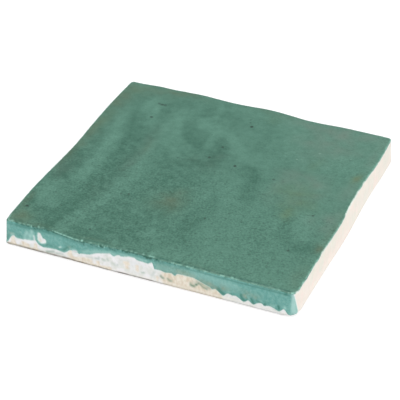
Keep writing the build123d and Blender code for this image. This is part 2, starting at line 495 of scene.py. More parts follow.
# The soft clouding is strongest in the middle and on the left, and fades to the front right.
clouds = 1.0 + 0.4 * smooth_step(-x, -10, 15) * smooth_step(-y, -25, 0)
clouds -= 0.5 * smooth_step(x, 5, 28) * smooth_step(-y, 0, 22)

# The glaze and slip on the walls
# White slip was brushed on the walls first. The glaze ran down over it from the face and
# froze in drips with fat dark tips, and where neither reached, the bare clay shows.
# The lower edge of the glaze along the front wall, as points (x, z)
front_glaze_edge = (
    (-52, 1.5), (-49.3, 1.4), (-48.9, 1.8), (-48.5, 2.8), (-48, 3.7), (-47.4, 4.3), (-46.8, 4.3),
    (-46.4, 3.8), (-45.8, 3.6), (-43.6, 3.7), (-43, 4), (-41, 4.1), (-39.1, 4.5), (-38.4, 3.6),
    (-37.8, 3.2), (-37.1, 2.9), (-36.3, 2.75), (-34.4, 2.95), (-31.7, 3.15), (-29.8, 2.85),
    (-28.9, 2.8), (-28.2, 3.1), (-27.5, 3.7), (-26.9, 4.2), (-26.4, 4.4), (-25.8, 4.1), (-25, 4),
    (-24.3, 4.1), (-23.8, 4), (-23.5, 3.6), (-23.2, 4), (-22.1, 4.25), (-20.7, 4.45), (-19.6, 4.7),
    (-18.1, 5.5), (-17.2, 5.9), (-14.6, 6.5), (-12.6, 7), (-12.1, 6.6), (-11.5, 6.3), (-10.9, 6.4),
    (-10.4, 6.9), (-9.4, 7.2), (-9, 6.9), (-8, 7), (-6.1, 7.5), (-4.1, 7.6), (-3.7, 7.1),
    (-2.5, 6.95), (0.5, 6.75), (1.2, 7.2), (1.9, 7.6), (2.1, 7.2), (2.7, 5.4), (4.7, 5.5),
    (5.6, 5.3), (6.6, 5.1), (7.7, 5.4), (8.6, 5.5), (9.1, 5.2), (9.8, 4.7), (10.4, 5.8),
    (12.3, 5.9), (15.6, 5.9), (16.9, 5.6), (18, 5.2), (19.5, 4.6), (21.6, 4), (22.4, 3.3),
    (23, 3.6), (23.4, 3.85), (24.2, 3.3), (25.1, 2.6), (26, 2), (26.5, 2.3), (27.1, 3),
    (27.7, 3.35), (29.1, 3), (30.1, 3.25), (31, 2.95), (31.8, 2.4), (32.5, 1.9), (33, 1.8),
    (33.7, 2.15), (34.1, 2.6), (34.5, 2.85), (35.1, 2.4), (35.7, 1.85), (36.3, 1.7), (36.9, 2.1),
    (37.4, 2.6), (38.5, 2.95), (39.1, 2.85), (39.5, 2.35), (40, 2.25), (40.6, 2.6), (41.8, 2.7),
    (43.3, 2.15), (44.2, 1.75), (44.8, 1.65), (45.3, 2.1), (45.8, 2.65), (46.2, 2.95), (46.6, 2.6),
    (46.9, 2.1), (47.3, 1.4), (47.6, 0.8), (48, 0.1), (52, 0),
)
# Strokes on the front wall, each its half width, its strength and its points (x, z). The first
# are bare clay, and where the strength is negative the slip stays whole.
front_bare_clay = (
    (0.7, 0.95, -47.3, 3.4, -47.5, 1.6), (0.85, 1, -43.7, 2.3, -42, 1.9),
    (0.6, 0.7, -47.1, 2.2, -46.8, 1.4), (0.5, 0.8, -38.9, 1.8, -38.7, 1.3),
    (0.42, 0.95, -49, 1, -38, 1.1), (0.6, 1, -39.1, 3, -39.3, 1.6),
    (0.6, 0.65, -37.7, 5.4, -37.4, 4.8), (0.55, 0.95, -26.6, 3.9, -26.7, 3.3),
    (0.95, 1, -27, 2.4, -25.8, 1.4), (0.95, 1, -24.5, 1.5, -21.5, 2.3, -19.4, 2.4),
    (0.5, 0.95, -25, 1, -12.4, 1.1), (0.8, 1.1, -16.8, 2.4, -16.7, 1.5),
    (0.7, 0.55, -14.6, 1.6, -12.4, 1.7), (0.6, 0.7, -7.6, 4.9, -6.3, 5),
    (0.9, 0.95, -6.8, 4.6, -6.7, 3.4), (0.75, 1, -3.2, 4.6, -3.1, 3.3), (0.3, 0.6, -37, 1, -27, 1),
    (0.5, 0.85, 3.7, 2.6, 3.8, 1.4), (2.5, 1.9, 7.6, 3.1, 22.4, 2.1),
    (1.1, 1.2, 12.2, 4.6, 16, 4.6), (0.8, 0.9, 24, 1.4, 25.4, 1.2),
    (1, -0.35, 27.4, 1.8, 31.5, 1.6),
)
# Flecks of glaze below its edge, and then the thin green and grey stains on the slip
front_flecks = (
    (0.4, 0.25, -34.7, 1.1, -32.4, 1.7), (0.45, 1.1, 5.1, 3.5, 5.4, 3.1, 5.8, 2.9),
    (0.45, 0.9, 7.3, 3, 7.9, 2.6, 8.6, 2.6),
    (0.45, 0.7, 15, 3.5, 15.2, 3, 15.8, 2.7, 16.5, 2.9, 17, 3.5), (0.45, 0.6, 15.2, 2.9, 16.2, 2.7),
    (0.5, 0.3, 15.6, 3.9, 16.1, 3.5),
    (0.38, 0.85, 17, 3.5, 17.7, 4.2, 18.5, 3.7, 19.6, 3, 20.6, 2.8),
    (0.75, 0.65, 17.4, 4.9, 19.4, 4.3, 21.6, 3.6), (0.4, 0.3, 16, 4.6, 16.6, 4),
    (0.4, 0.3, 20, 3.3, 20.7, 3.4),
)
front_tints = (
    (0.5, 1.7, -35, 1.5, -32.6, 2.3), (0.5, 1.2, -31.4, 1.9, -29.6, 2), (0.4, 1, -28.8, 1.3),
    (0.45, 1.1, -17.6, 3.9, -16.6, 3.9), (0.45, 0.8, -16.4, 4.6),
    (0.45, 0.9, -15.2, 4.2, -14.6, 3.9), (0.45, 0.9, -13.6, 4.7, -13.3, 4.3),
    (0.5, 0.7, -11.8, 3.6, -10.9, 3.3), (0.45, 0.8, -9.9, 3.5), (0.4, 0.8, -14.4, 5.9, -13.6, 6.2),
    (0.4, 0.8, -6.6, 3), (0.36, 1.2, -1.4, 2.9, -0.8, 3.1), (0.5, 0.7, 2, 3, 3, 4.6),
    (0.5, 1.2, 43, 2.1, 44.3, 1.5, 44.9, 1.5), (0.4, 0.5, 35.6, 1.5, 36.6, 1.4),
    (0.5, 0.8, -38, 6.4, -37.4, 4.4), (0.4, 0.35, -36.9, 5.2, -36.2, 5.2),
    (0.4, 0.5, 39.6, 1.9, 40.4, 1.7), (0.4, 0.5, -21, 3.6, -18.8, 3.7),
    (1.2, 0.25, -9, 5.7, -1, 5.6),
)
# Where the glaze is thin and the slip pales it
front_veils = (
    (0.5, 0.6, -43, 4.2, -42.8, 6), (0.6, 0.75, -41, 4.4, -40.6, 7.6),
    (0.5, 0.5, -42.1, 6.8, -41.3, 5.9), (0.48, 1.55, -39.8, 6, -39.6, 5.2, -39.2, 4),
    (0.5, 0.35, -40.1, 7.7, -40.2, 6.8), (0.5, 0.5, -42.5, 6.8, -41.8, 4.2),
    (0.3, 1.7, -30.5, 4.35, -30.1, 4.6), (0.6, 1.6, -25.6, 4.3, -24.5, 4.5),
    (1.1, 0.12, -34, 7.2, -29, 6.4), (0.9, 0.15, -48.6, 7.4),
    (0.6, 0.5, -22, 5.2, -17, 6.6, -11, 7.3), (0.45, 0.45, -9, 7.7, 0, 7.7),
    (0.9, 0.25, 3.6, 6.4, 9, 6.4), (0.4, 0.25, 10.5, 6.4, 16.5, 6.3), (1.3, 0.35, 16, 7.6, 30, 6.6),
    (0.4, 0.4, 34.6, 3.9, 34.8, 3.1), (0.6, 0.9, 46.5, 3.6), (0.5, 0.4, 27.9, 4.1),
    (0.5, 0.4, 38.6, 3.8), (0.4, 0.5, 42, 3.4, 43, 3), (0.5, 0.6, -47.8, 4.6, -47.2, 4.8),
)
# The fat dark tips of the drips, and the dark bands where the glaze is thickest
front_pools = (
    (0.4, 0.5, -39.2, 7.9, -39.15, 6, -38.9, 4.7, -38.1, 3.6, -36.8, 3.2, -35.4, 3.5, -34.8, 4.3),
    (0.8, 0.4, -45.2, 5.3, -44.4, 4.8), (0.45, 0.7, -49.7, 5.2, -49.3, 2.6),
    (0.7, 0.6, -35, 4.1, -31.5, 3.9), (0.5, 0.7, -30.4, 3.7, -29.2, 3.6),
    (0.7, 0.45, -46, 8.7, -34, 8.6), (0.35, 0.5, -48.6, 4.2, -49.2, 2.6),
    (0.5, 0.5, -42, 5.4, -41.9, 5), (0.5, 1, -28.7, 3.9, -27.8, 4.8),
    (1, 0.5, -28.5, 6.2, -26.5, 5.6), (0.3, 0.8, -23.6, 4.1, -24.1, 5.2),
    (0.65, 1.4, 24.4, 4.3, 25.3, 3.6, 26.2, 2.9), (0.4, 0.9, 28.9, 3.7),
    (0.45, 1.7, 32.1, 4.2, 32.4, 3, 33.1, 2.4), (0.45, 1.6, 35.5, 3.7, 36.2, 2.4),
    (0.35, 0.7, 34, 3.6, 33.8, 2.9), (0.4, 0.4, 42.4, 3.4), (0.4, 1.1, 37.2, 3.5, 38.3, 3.5),
    (0.38, 1.5, 40, 3.1, 40, 2.7), (0.4, 1.9, 44.4, 3.6, 44.5, 2.7), (0.45, 0.9, 46.5, 8.6),
    (0.6, 0.3, 42.2, 3.6), (0.35, 0.4, 5.2, 6, 6.4, 5.5), (0.4, 0.5, 8.6, 6, 9.8, 5.3),
)
front_iron = (
    (0.7, 0.6, 26.1, 4.7), (0.55, 0.9, 33.2, 4.4, 33.6, 3.8), (0.6, 0.5, 36.8, 4.5),
    (0.9, 0.6, 10.8, 6.5, 16, 6.4), (1.1, 0.55, 18.6, 5.6, 23.4, 4.4),
    (1, 0.35, 25.6, 5.7, 27.6, 4.9), (1, 0.22, 32, 5.8, 38, 5.2), (0.5, 0.3, 4, 6, 9.4, 6),
    (1, 0.28, 4, 7.2, 14, 7.7), (0.8, 0.4, 21.6, 5.3), (0.6, 0.25, 30, 5), (0.6, 0.25, 35.6, 5),
    (0.6, 0.4, -27, 5.3), (0.5, 0.5, -48.2, 4.9, -47.2, 5), (0.5, 0.2, 33.8, 6, 34.2, 5),
)
# The arris of the front wall, with points (x, how far below the face). The glaze crinkled
# there: painted highlights mark the crests of the crinkles where light catches them, and painted
# shade marks the hollows between, where the glaze also lies darker.
front_painted_highlights = (
    (0.14, 0.65, -49.8, 0.35, -47.4, 0.3), (0.13, 0.55, -45.3, 0.4, -44.6, 0.3),
    (0.13, 0.4, -43.6, 0.3, -43, 0.35), (0.13, 0.5, -42.2, 0.25, -41.3, 0.3),
    (0.14, 0.7, -40.8, 0.2, -40.6, 0.7), (0.17, 0.55, -38.3, 0.2, -37.6, 0.5),
    (0.13, 0.4, -37, 0.2, -36.3, 0.25), (0.13, 0.45, -33.3, 0.2, -33, 0.4),
    (0.13, 0.8, -32.4, 0.34, -29, 0.4, -26, 0.4, -23.8, 0.36), (0.2, 1.1, -22.8, 0.3, -22.4, 0.3),
    (0.14, 0.5, -20.2, 0.4, -19, 0.3), (0.13, 0.55, -16.7, 0.3, -16.5, 1),
    (0.13, 0.4, -15.4, 0.2, -15.2, 0.5), (0.13, 0.75, -14.6, 0.9, -14.4, 0.3),
    (0.14, 0.5, -13.8, 0.8, -13.6, 0.3), (0.13, 0.35, -11.8, 0.5, -11, 0.3),
    (0.14, 0.35, -9.2, 0.8, -8.9, 0.3), (0.14, 0.35, -7.4, 0.4, -7, 0.2),
    (0.14, 0.35, -5.6, 0.35, -5.2, 0.2), (0.13, 0.4, -4.2, 0.3, -3.4, 0.25),
    (0.13, 0.45, -1.6, 0.2, -1, 0.2), (0.14, 0.6, 0.6, 0.2, 2.6, 0.2),
    (0.14, 0.5, 2.3, 1.2, 2.6, 0.8), (0.13, 0.45, 4.7, 0.9, 5.2, 0.4),
    (0.14, 0.6, 8.6, 0.5, 9.3, 0.3), (0.13, 0.45, 9.9, 0.4, 11.8, 0.4),
    (0.14, 0.7, 13.4, 0.4, 14.4, 0.35), (0.17, 0.65, 14.9, 0.5, 15.7, 0.25),
    (0.13, 0.5, 19.4, 0.45, 20.6, 0.4), (0.14, 0.6, 24.8, 0.4, 26.2, 0.4),
    (0.19, 0.65, 28.4, 0.3, 29, 0.3), (0.13, 0.35, 29.4, 0.35, 31, 0.35),
    (0.13, 0.3, 35.2, 0.35, 36.8, 0.35), (0.14, 0.3, 42.6, 0.35, 44.4, 0.3),
    (0.14, 0.5, 47.1, 0.4, 47.5, 0.3), (0.18, 1, 48.2, 0.3, 48.9, 0.3),
    (0.2, 1.1, 49.2, 0.8, 49.5, 0.7), (0.14, 0.22, 4, 0.46, 44.6, 0.44),
)
front_shade_and_dark_glaze = (
    (0.28, 1.1, -45.8, 0.45, -45.4, 0.15), (0.25, 0.6, -44.2, 0.55, -43.6, 0.65),
    (0.32, 1.2, -43.2, 0.55, -42.7, 0.15), (0.28, 0.9, -42.1, 0.65, -41.6, 0.55),
    (0.35, 1.2, -40.2, 0.15, -39.8, 0.1), (0.3, 1, -39.9, 0.75, -39.3, 0.95),
    (0.28, 0.8, -38.6, 0.75, -38, 0.55), (0.28, 0.7, -37.6, 0.75, -36.8, 0.65),
    (0.28, 0.8, -36, 0.45, -34.6, 0.65), (0.25, 0.9, -34.2, 0.15, -32.6, 0.35),
    (0.28, 0.75, -33, 0.6, -22.5, 0.75), (0.3, 0.9, -22.3, 0.15, -21.7, 0.65),
    (0.25, 0.6, -21.9, 1.2, -21.6, 1.6), (0.3, 0.7, -19.4, 0.65, -18, 0.85),
    (0.25, 0.6, -17.6, 1, -16.8, 1), (0.25, 1, -16.1, 0.1, -15.8, 0.65),
    (0.35, 1.2, -15.6, 0.85, -15, 0.65), (0.3, 0.9, -13.2, 0.55, -12.8, 0.15),
    (0.3, 0.7, -12.6, 0.85, -10.8, 0.95), (0.25, 0.7, -11.3, 0.35, -10.6, 0.1),
    (0.25, 0.8, -10, 0.55, -9.7, 0.15), (0.36, 1.1, -8.3, 0.55, -7.4, 0.25),
    (0.42, 1.2, -7.2, 0.55, -6.4, 0.55), (0.3, 0.8, -5.8, 0.45, -5, 0.45),
    (0.28, 0.7, -4.6, 0.45, -3.2, 0.55), (0.3, 0.8, -2.4, 0.45, -1.6, 0.25),
    (0.32, 1, -1, 0.65, -0.4, 0.35), (0.38, 1.2, 0, 0.85, 1.4, 0.65),
    (0.25, 0.8, 1.6, 0.35, 2, 0.25), (0.38, 1.2, 3, 0.75, 3.6, 0.35),
    (0.28, 0.7, 4, 0.85, 5.6, 0.85), (0.28, 0.8, 5.6, 0.45, 6.6, 0.35),
    (0.28, 0.7, 7.2, 0.65, 8.2, 0.55), (0.25, 0.5, 9.4, 0.55, 9.8, 0.75),
    (0.28, 0.6, 10.8, 0.75, 12, 0.65), (0.26, 0.6, 12.6, 0.45, 14.2, 0.75),
    (0.25, 0.5, 17.4, 0.65, 19, 0.65), (0.28, 0.7, 26.6, 0.75, 27, 0.55),
    (0.3, 0.25, 36, 0.6, 44.4, 0.6), (0.28, 0.5, 45, 0.45, 45.6, 0.25),
    (0.35, 0.55, 46.3, 0.55, 46.9, 0.55),
)


def wavering(along, level, swing, seed):
    """An uneven height along a wall: slow waves with short drips hanging from them."""
    places = np.column_stack([along, np.zeros(len(along)), np.zeros(len(along))])
    slow = wobble(places, 11, seed)
    drips = np.clip(wobble(places, 3.4, seed + 1), 0, 1)
    fine = wobble(places, 1.1, seed + 2)
    return level + swing * (0.8 * slow - 1.5 * drips + 0.12 * fine)


# Each wall takes its noise from a place of its own, well apart from the others.
walls_apart = 40.0
along = np.select([front, right_wall, back_wall], [x, y, -x], -y)
wall_points = np.column_stack([along, z, walls_apart * skin_side])
shake = 0.35 * wobble(wall_points, 1.6, 11) + 0.2 * wobble(wall_points, 0.8, 12)
edge_x, edge_z = np.array(front_glaze_edge).T
front_edge = np.interp(x, edge_x, edge_z)
# The right wall was wiped nearly bare, and the glaze stops in a thin lip under the arris.
right_lip = (
    (-50, 0.5), (-47.5, 0.3), (-45.5, 0.65), (-43, 0.5), (-40, 0.9), (-36, 0.9), (-33, 0.5),
    (-31.5, 0.5), (-29.5, 0.85), (-26, 0.45), (-22, 0.45), (-20, 0.65), (-18, 0.5), (-12, 0.58),
    (-6, 0.75), (-3, 0.6), (-1, 0.1), (1, 0.2), (4.5, 0.12), (7, 0.3), (12.5, 0.3), (15, 0.62),
    (19, 0.52), (23, 0.78), (26, 0.6), (28.5, 0.7), (32, 0.68), (37, 0.6), (41, 0.52), (45, 0.8),
    (50, 0.8),
)
lip_y, lip_depth = np.array(right_lip).T
lip = np.interp(y, lip_y, lip_depth) + 0.22 * wobble(wall_points * (1, 0, 1), 2.4, 13)
right_edge = z + skin_fall - lip
back_edge = wavering(along, 5.2, 1.5, 21)
left_edge = wavering(along, 3.6, 1.3, 31)
# The glaze runs to the foot at the front left corner.
left_run_drop, left_run_width = 2.6, 5.0
left_edge -= left_run_drop * np.clip(1 - (y - low.y) / left_run_width, 0, 1)
glaze_edge = np.select([front, right_wall, back_wall], [front_edge, right_edge, back_edge],
                       left_edge)
# The face lies this far inside the edge of the glaze, and the underside as far outside it.
well_inside = 3.0
glaze = np.where(on_wall, z - glaze_edge, well_inside)
glaze[underneath] = -well_inside

# The teardrop that the glaze flowed round on the front wall: a narrow neck and a fat foot,
# each as two ends (x, z, radius)
drop_parts = (((-37.9, 7.2, 0.5), (-37.4, 5.4, 0.95)), ((-37.0, 5.0, 0.95), (-36.2, 5.1, 0.8)))
for (low_x, low_z, low_round), (high_x, high_z, high_round) in drop_parts:
    run_x, run_z = high_x - low_x, high_z - low_z
    share = ((x - low_x) * run_x + (z - low_z) * run_z) / (run_x ** 2 + run_z ** 2)
    share = np.clip(share, 0, 1)
    gap = np.hypot(x - low_x - share * run_x, z - low_z - share * run_z)
    gap -= low_round + (high_round - low_round) * share
    glaze = np.where(front, np.minimum(glaze, gap), glaze)

# Round the front right corner the glaze runs to the foot and stops in a line down its far side.
# The line is this many degrees round the corner at that height, and leans on by so many degrees
# for each millimetre below.
stop_turn, stop_level, stop_lean = 30, 9.2, 7.8
degree_run = 0.06
corner_x, corner_y = field_corners[1]
corner_turn = np.degrees(np.arctan2(y - corner_y, x - corner_x)) + 90
corner_zone = (x > corner_x) & (y < corner_y + 2.0) & on_wall
corner_far = corner_zone & (corner_turn > 20)
corner_stop = stop_turn + stop_lean * (stop_level - z)
corner_glaze = np.minimum((corner_stop - corner_turn) * degree_run, well_inside)
corner_lip = np.where(right_wall, glaze, 0.7 - skin_fall)
glaze = np.where(corner_far, np.maximum(corner_glaze, corner_lip), glaze)

blot_x, blot_z = x + 0.5 * shake, z + 0.35 * shake
bare = np.where(front, brushed(blot_x, blot_z, front_bare_clay) - 0.45, 0.0)
hidden_bare = 0.9 * wobble(wall_points, 6, 14) + 0.5 * wobble(wall_points, 2, 15)
bare = np.where(right_wall, 1.0 - 0.9 * smooth_step(glaze, -1.1, -0.3), bare)
wiped = np.where(right_wall, 0.85, 0.0)
bare = np.where(skin_side >= 2, hidden_bare - 0.05, bare)
bare[(skin_side < 0) | underneath] = 1.0
bare = np.where(corner_far & (corner_turn < corner_stop + 8), -0.5, bare)
flecks, tints, veils_and_corner_highlight, pools, iron = (
    np.where(front, brushed(blot_x, blot_z, strokes), 0.0)
    for strokes in (front_flecks, front_tints, front_veils, front_pools, front_iron)
)
# Painted highlights and painted shade along the front arris
painted_highlights, shade_and_dark_glaze = (
    np.where(front, brushed(x, skin_fall, strokes), 0.0) for strokes in (front_painted_highlights, front_shade_and_dark_glaze)
)
tip = np.exp(-np.clip(glaze, 0, None) / 0.5) * on_wall
pools = np.where(front, pools + 0.35 * tip * (x > 22), pools + 0.7 * tip)
broken = np.clip(0.6 + 0.9 * wobble(skin_points, 1.6, 30), 0, 1.4)
# A broken dark line under the arris of the other walls, in the mask of painted shade and darker
# glaze
dark_line = 0.6 * band(skin_fall, 0.7, 0.35) * broken
shade_and_dark_glaze = np.where(on_wall & ~front, dark_line, shade_and_dark_glaze)
# A thin pale line under the right arris, partly thin glaze over the clay and partly painted
# highlight, and a painted highlight along the back and left arrises
thin_line = 0.8 * band(skin_fall, 0.35, 0.16) * broken
painted_highlights = np.where(right_wall & (skin_fall > 0), thin_line, painted_highlights)
thin_line = 0.6 * band(skin_fall, 0.12, 0.12) * (0.5 + 0.5 * broken)
painted_highlights = np.where((skin_side >= 2) & (skin_fall > 0), thin_line, painted_highlights)
veils_and_corner_highlight = np.where(front, veils_and_corner_highlight + 0.5 * tip * (x < 3), veils_and_corner_highlight)
# Dark lines run along the arris where the glaze thickened as it turned down.
pools += front * smooth_step(x, 8, 17) * band(skin_fall, 1.15, 0.3)
pools += front * smooth_step(-x, -14, -2) * 0.6 * band(skin_fall, 1.2, 0.6)
# A darker fringe along the front edge of the face, in the same mask
fringe = band(y - low.y, 1.15, 0.4) * smooth_step(x, -44, -34)
fringe *= np.clip(0.75 + 0.9 * wobble(flat_points, 1.4, 26), 0, 1.6)
fringe *= 1 - 0.6 * smooth_step(x, -27, -20) * smooth_step(-x, -6, 0)
shade_and_dark_glaze = np.where(on_face, fringe, shade_and_dark_glaze)
# A painted reflection of the white table runs down the rounded front right corner, where the glaze
# is also thin, fading towards the foot
corner_painted_highlight = smooth_step(corner_turn, 5, 27) - 0.25 * smooth_step(corner_turn, 50, 66)
corner_painted_highlight *= smooth_step(z, 0.3, 2.4 - 1.7 * smooth_step(corner_turn, 30, 60))
veils_and_corner_highlight = np.where(corner_zone, 1.1 * corner_painted_highlight, veils_and_corner_highlight)
pools = np.where(corner_zone & (corner_turn > 5), 0.0, pools)
# A dark line lies just above the foot, partly bench dirt and partly painted shadow where the
# rounded foot meets the table, darkest on the left half of the front wall, and a paler band that
# the sponge left runs over it.
foot_line_stations = (-50, -37.5, -32, -28, -20, -12, -8.3, -5, -1.5, 1, 4, 10, 50)
foot_line_strengths = (1.5, 1.05, 2.0, 1.6, 1.2, 1.25, 2.4, 0.95, 1.4, 2.1, 0.9, 0.6, 0.32)
foot_dirt_and_shadow = np.where(front, np.interp(x, foot_line_stations, foot_line_strengths), 0.3)
foot_line_level = np.interp(x, (-50, -42, -28, -24, 0, 5), (0.8, 0.78, 0.84, 0.66, 0.7, 0.6))
foot_line_spread = np.interp(x, (-50, -42, -28, -24), (0.3, 0.36, 0.4, 0.3))
foot_dirt_and_shadow *= band(z, foot_line_level, foot_line_spread)
powder = front * band(z, 1.45, 0.4) * (0.8 + 0.5 * wobble(wall_points, 3, 32))
powder *= np.interp(x, (-28, -24, 25, 28, 32), (0.3, 1.0, 1.0, 1.7, 1.0))
# The sponge left the right wall palest at its foot, and a thin green film under the lip.
right_powder = np.interp(y, (-28, -16, -8, 12, 20), (1.2, 0.9, 0.2, 0.1, 0.8))
powder = np.where(right_wall, right_powder * smooth_step(-z, -3.4, -0.4), powder)
right_film = np.interp(y, (-50, -40, -34, -16, -6, 5), (0.15, 0.2, 1.0, 0.9, 0.7, 0.4))
film = right_wall * right_film * smooth_step(z, 1.5, 7.5)
film *= 1 + 0.5 * wobble(wall_points, 4, 33)
foot_dirt_and_shadow = np.where(right_wall | underneath, 0.0, foot_dirt_and_shadow)
foot_dirt_and_shadow *= 1 + 0.6 * wobble(wall_points, 5, 24) + 0.4 * wobble(wall_points, 1.2, 25)

# Relief: the glaze stands proud with a rounded lip, slip lies thinner, bare clay is pitted.
glaze_thickness = 0.12
slip_thickness = 0.04
coat = glaze_thickness * smooth_step(glaze, -0.12, 0.35) * (1 + 0.45 * tip)
coat += slip_thickness * smooth_step(-bare, -0.15, 0.15)
clay_tooth = 0.035 * wobble(skin_points, 0.9, 16) + 0.03 * wobble(skin_points, 2.2, 17)
relief = np.where(on_wall, coat + clay_tooth * smooth_step(-glaze, -0.2, 0.2), 0.0)
relief -= front * 0.06 * smooth_step(-z, -2.6, -0.4)
relief *= smooth_step(skin_fall, 0.0, 0.45) * ~underneath
waves = 0.035 * wobble(stretched, 4.5, 18) + 0.02 * wobble(flat_points, 2.4, 19)
lumps = 0.02 * wobble(skin_points, 1.3, 20)
relief += np.where(facing_up > 0.05, waves + lumps, lumps * (facing_up > -0.5))
# A bubble burst in the face and left a crater with a low ring round it.
crater_x, crater_y, ring_round, ring_rise = -4.5, 2.0, 1.0, 0.05
from_crater = np.hypot(x - crater_x, y - crater_y)
relief += on_face * ring_rise * band(from_crater, ring_round, 0.35)
shift = relief[:, None] * skin_normals
skin_points = skin_points + shift
skin_points[:, 2] = np.maximum(skin_points[:, 2], 0.0)

# The faces of the skin, each with its place on the flat drawing that its colours are kept on
drawing_scale = 0.0069
under_scale = 0.0028
drawing_edge = 0.006
strip_pitch = 0.0735
strips_above = 0.700
strip_edge = 0.3
under_left = 0.712
station_path = station_base + station_out * wall_lower[:, None]
steps_along = np.hypot(*(np.roll(station_path, -1, 0) - station_path).T)
path = np.concatenate([[0.0], np.cumsum(steps_along)])
strip_start = [path[np.argmax(station_side == k)] for k in range(4)]
late_front = np.argmax((station_side == 0) & (np.arange(station_count) > station_count // 2))
strip_start[0] = path[late_front] - path[-1] if late_front else 0.0
row_steps = np.hypot(np.diff(ring_out.mean(1)), np.diff(ring_up.mean(1)))
down_path = np.concatenate([[0.0], np.cumsum(row_steps)]) - row_steps[:arris_row].sum()


def on_drawing(kind, number, station=0, side=0):
    """The place on the drawing of a corner of a face."""
    if kind == "wall":
        row = number // station_count
        run = path[station] - strip_start[side]
        if side == 0 and station > station_count // 2:
            run = path[station] - path[-1] - strip_start[side]
        return (drawing_edge + run * drawing_scale,
                strips_above + side * strip_pitch + (down_path[row] + strip_edge) * drawing_scale)
    px, py = skin_points[number, 0] - low.x, skin_points[number, 1] - low.y
    if kind == "face":
        return drawing_edge + px * drawing_scale, drawing_edge + py * drawing_scale
    return under_left + px * under_scale, drawing_edge + py * under_scale


faces, places = [], []


def add_face(numbers, kind, stations=None, side=0):
    """One more face of the skin, with the places of its corners on the drawing."""
    faces.append(numbers)
    stations = stations or [0] * len(numbers)
    places.extend(on_drawing(kind, n, s, side) for n, s in zip(numbers, stations))


for a in range(station_count):
    b = (a + 1) % station_count
    side = int(station_side[a])
    spans = [a, a, a + 1, a + 1]
    for row in range(row_count - 1):
        above, below = row * station_count, (row + 1) * station_count
        kind = "face" if row < arris_row else "under" if row >= foot_row else "wall"
        add_face([above + a, below + a, below + b, above + b], kind, spans, side)
    hub_a, hub_b = station_hub[a], station_hub[b]
    last = (row_count - 1) * station_count
    if hub_a == hub_b:
        add_face([top_border + hub_a, a, b], "face")
        add_face([last + a, under_border + hub_a, last + b], "under")
    else:
        add_face([top_border + hub_a, a, b, top_border + hub_b], "face")
        add_face([last + a, under_border + hub_a, under_border + hub_b, last + b], "under")
for loop in top_faces:
    add_face(loop, "face")
for loop in under_faces:
    add_face(loop[::-1], "under")

skin = bpy.data.meshes.new("glazed_tile")
skin.from_pydata((skin_points * mm).tolist(), [], faces)
skin.polygons.foreach_set("use_smooth", [True] * len(skin.polygons))
drawing = skin.uv_layers.new(name="OFBake")
drawing.data.foreach_set("uv", np.array(places, dtype=np.float32).reshape(-1))
held = dict(
    glaze=glaze, bare=bare, fall=skin_fall, tone=tone, rust=rust, rose=rose, olive=olive,
    flecks=flecks, tints=tints, veils_and_corner_highlight=veils_and_corner_highlight, pools=pools, iron=iron, painted_highlights=painted_highlights,
    shade_and_dark_glaze=shade_and_dark_glaze, foot_dirt_and_shadow=foot_dirt_and_shadow, wiped=wiped, grit=grit, clouds=clouds, powder=powder,
    film=film,
)
for name, values in held.items():
    layer = skin.attributes.new(name, "FLOAT", "POINT")
    layer.data.foreach_set("value", np.asarray(values, dtype=np.float32))
skin.update()
tile = bpy.data.objects.new("glazed_tile", skin)
bpy.context.scene.collection.objects.link(tile)

# The finish of glaze, slip and clay
# The satin glaze is speckled with fine dark grain and pricked by a few pinholes, the slip is
# chalk white with a dull sheen, and the clay is dry, sandy and cream to pink.
finish = bpy.data.materials.new("glazed_clay")
finish.use_nodes = True
nodes, links = finish.node_tree.nodes, finish.node_tree.links
nodes.clear()


def paint(red, green, blue):
    """A screen colour, 0 to 255, as the colour that a shader takes."""
    shares = [c / 255 for c in (red, green, blue)]
    linear = [c / 12.92 if c <= 0.04045 else ((c + 0.055) / 1.055) ** 2.4 for c in shares]
    return (*linear, 1.0)


def put(socket, value):
    """Feeds a socket from another socket, or sets it to a plain value."""
    if isinstance(value, bpy.types.NodeSocket):
        links.new(value, socket)
    else:
        socket.default_value = value


def kept(name):
    """What the skin holds under a name."""
    node = nodes.new("ShaderNodeAttribute")
    node.attribute_name = name
    return node.outputs["Fac"]


def sums(operation, first, second=0.0, third=0.0, clamp=False):
    """The result of one sum on sockets or plain values."""
    node = nodes.new("ShaderNodeMath")
    node.operation = operation
    node.use_clamp = clamp
    for socket, value in zip(node.inputs, (first, second, third)):
        put(socket, value)
    return node.outputs[0]


def ramp(value, start, end, low_end=0.0, high_end=1.0):
    """A soft rise from low_end to high_end as the value goes from start to end."""
    node = nodes.new("ShaderNodeMapRange")
    node.interpolation_type = "SMOOTHSTEP"
    put(node.inputs["Value"], value)
    node.inputs["From Min"].default_value = start
    node.inputs["From Max"].default_value = end
    node.inputs["To Min"].default_value = low_end
    node.inputs["To Max"].default_value = high_end
    return node.outputs["Result"]


def blended(share, under, over):
    """The over colour laid on the under colour by a share from 0 to 1."""
    node = nodes.new("ShaderNodeMix")
    node.data_type = "RGBA"
    node.clamp_factor = True
    put(node.inputs["Factor"], share)
    put(node.inputs["A"], under)
    put(node.inputs["B"], over)
    return node.outputs["Result"]


def stained(colour, name, most, over):
    """The colour with another one laid on it as strongly as the skin holds under a name."""
    return blended(sums("MULTIPLY", kept(name), most), colour, paint(*over))


def mottled(colour, noise, start, end, most, over):
    """The colour with another one laid on it where the noise is high."""
    return blended(ramp(noise, start, end, 0.0, most), colour, paint(*over))


place = nodes.new("ShaderNodeTexCoord").outputs["Object"]


